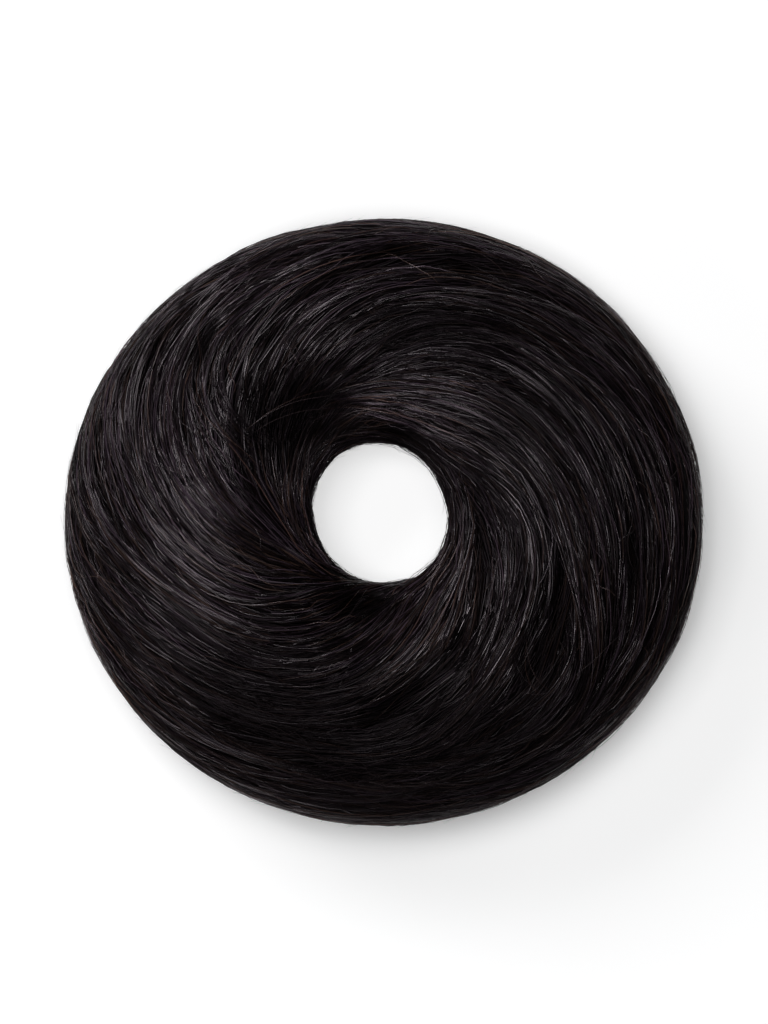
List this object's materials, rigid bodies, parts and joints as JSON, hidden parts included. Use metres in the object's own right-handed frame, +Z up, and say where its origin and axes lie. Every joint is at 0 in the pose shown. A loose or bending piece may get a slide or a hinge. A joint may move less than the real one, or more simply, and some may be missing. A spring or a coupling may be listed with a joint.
{
  "type": "top knot hairpiece",
  "caption": "Soft doughnut of dark false hair whose locks sweep clockwise from an open centre hole, over a padded base ring, with a hidden elastic band.",
  "frame": {"origin": "on the surface the ring rests on, below the middle of its outline seen from above", "axes": "+Z up, through the hole; +X to the right and +Y to the top of the ring as seen from above, with the widest way along X"},
  "size_m": [0.1198, 0.1138, 0.0356],
  "materials": {
    "hair": "near-black straight hair fibre, soft gloss along the strands",
    "base": "matt black-brown wound padding",
    "elastic": "matt black covered elastic"
  },
  "bodies": {
    "root": {"base_ring": "base", "elastic_band": "elastic", "lock_01": "hair", "lock_02": "hair", "lock_03": "hair", "lock_04": "hair", "lock_05": "hair", "lock_06": "hair", "lock_07": "hair", "lock_08": "hair", "lock_09": "hair", "lock_10": "hair", "lock_11": "hair", "lock_12": "hair", "lock_13": "hair", "lock_14": "hair", "lock_15": "hair"}
  },
  "joints": []
}
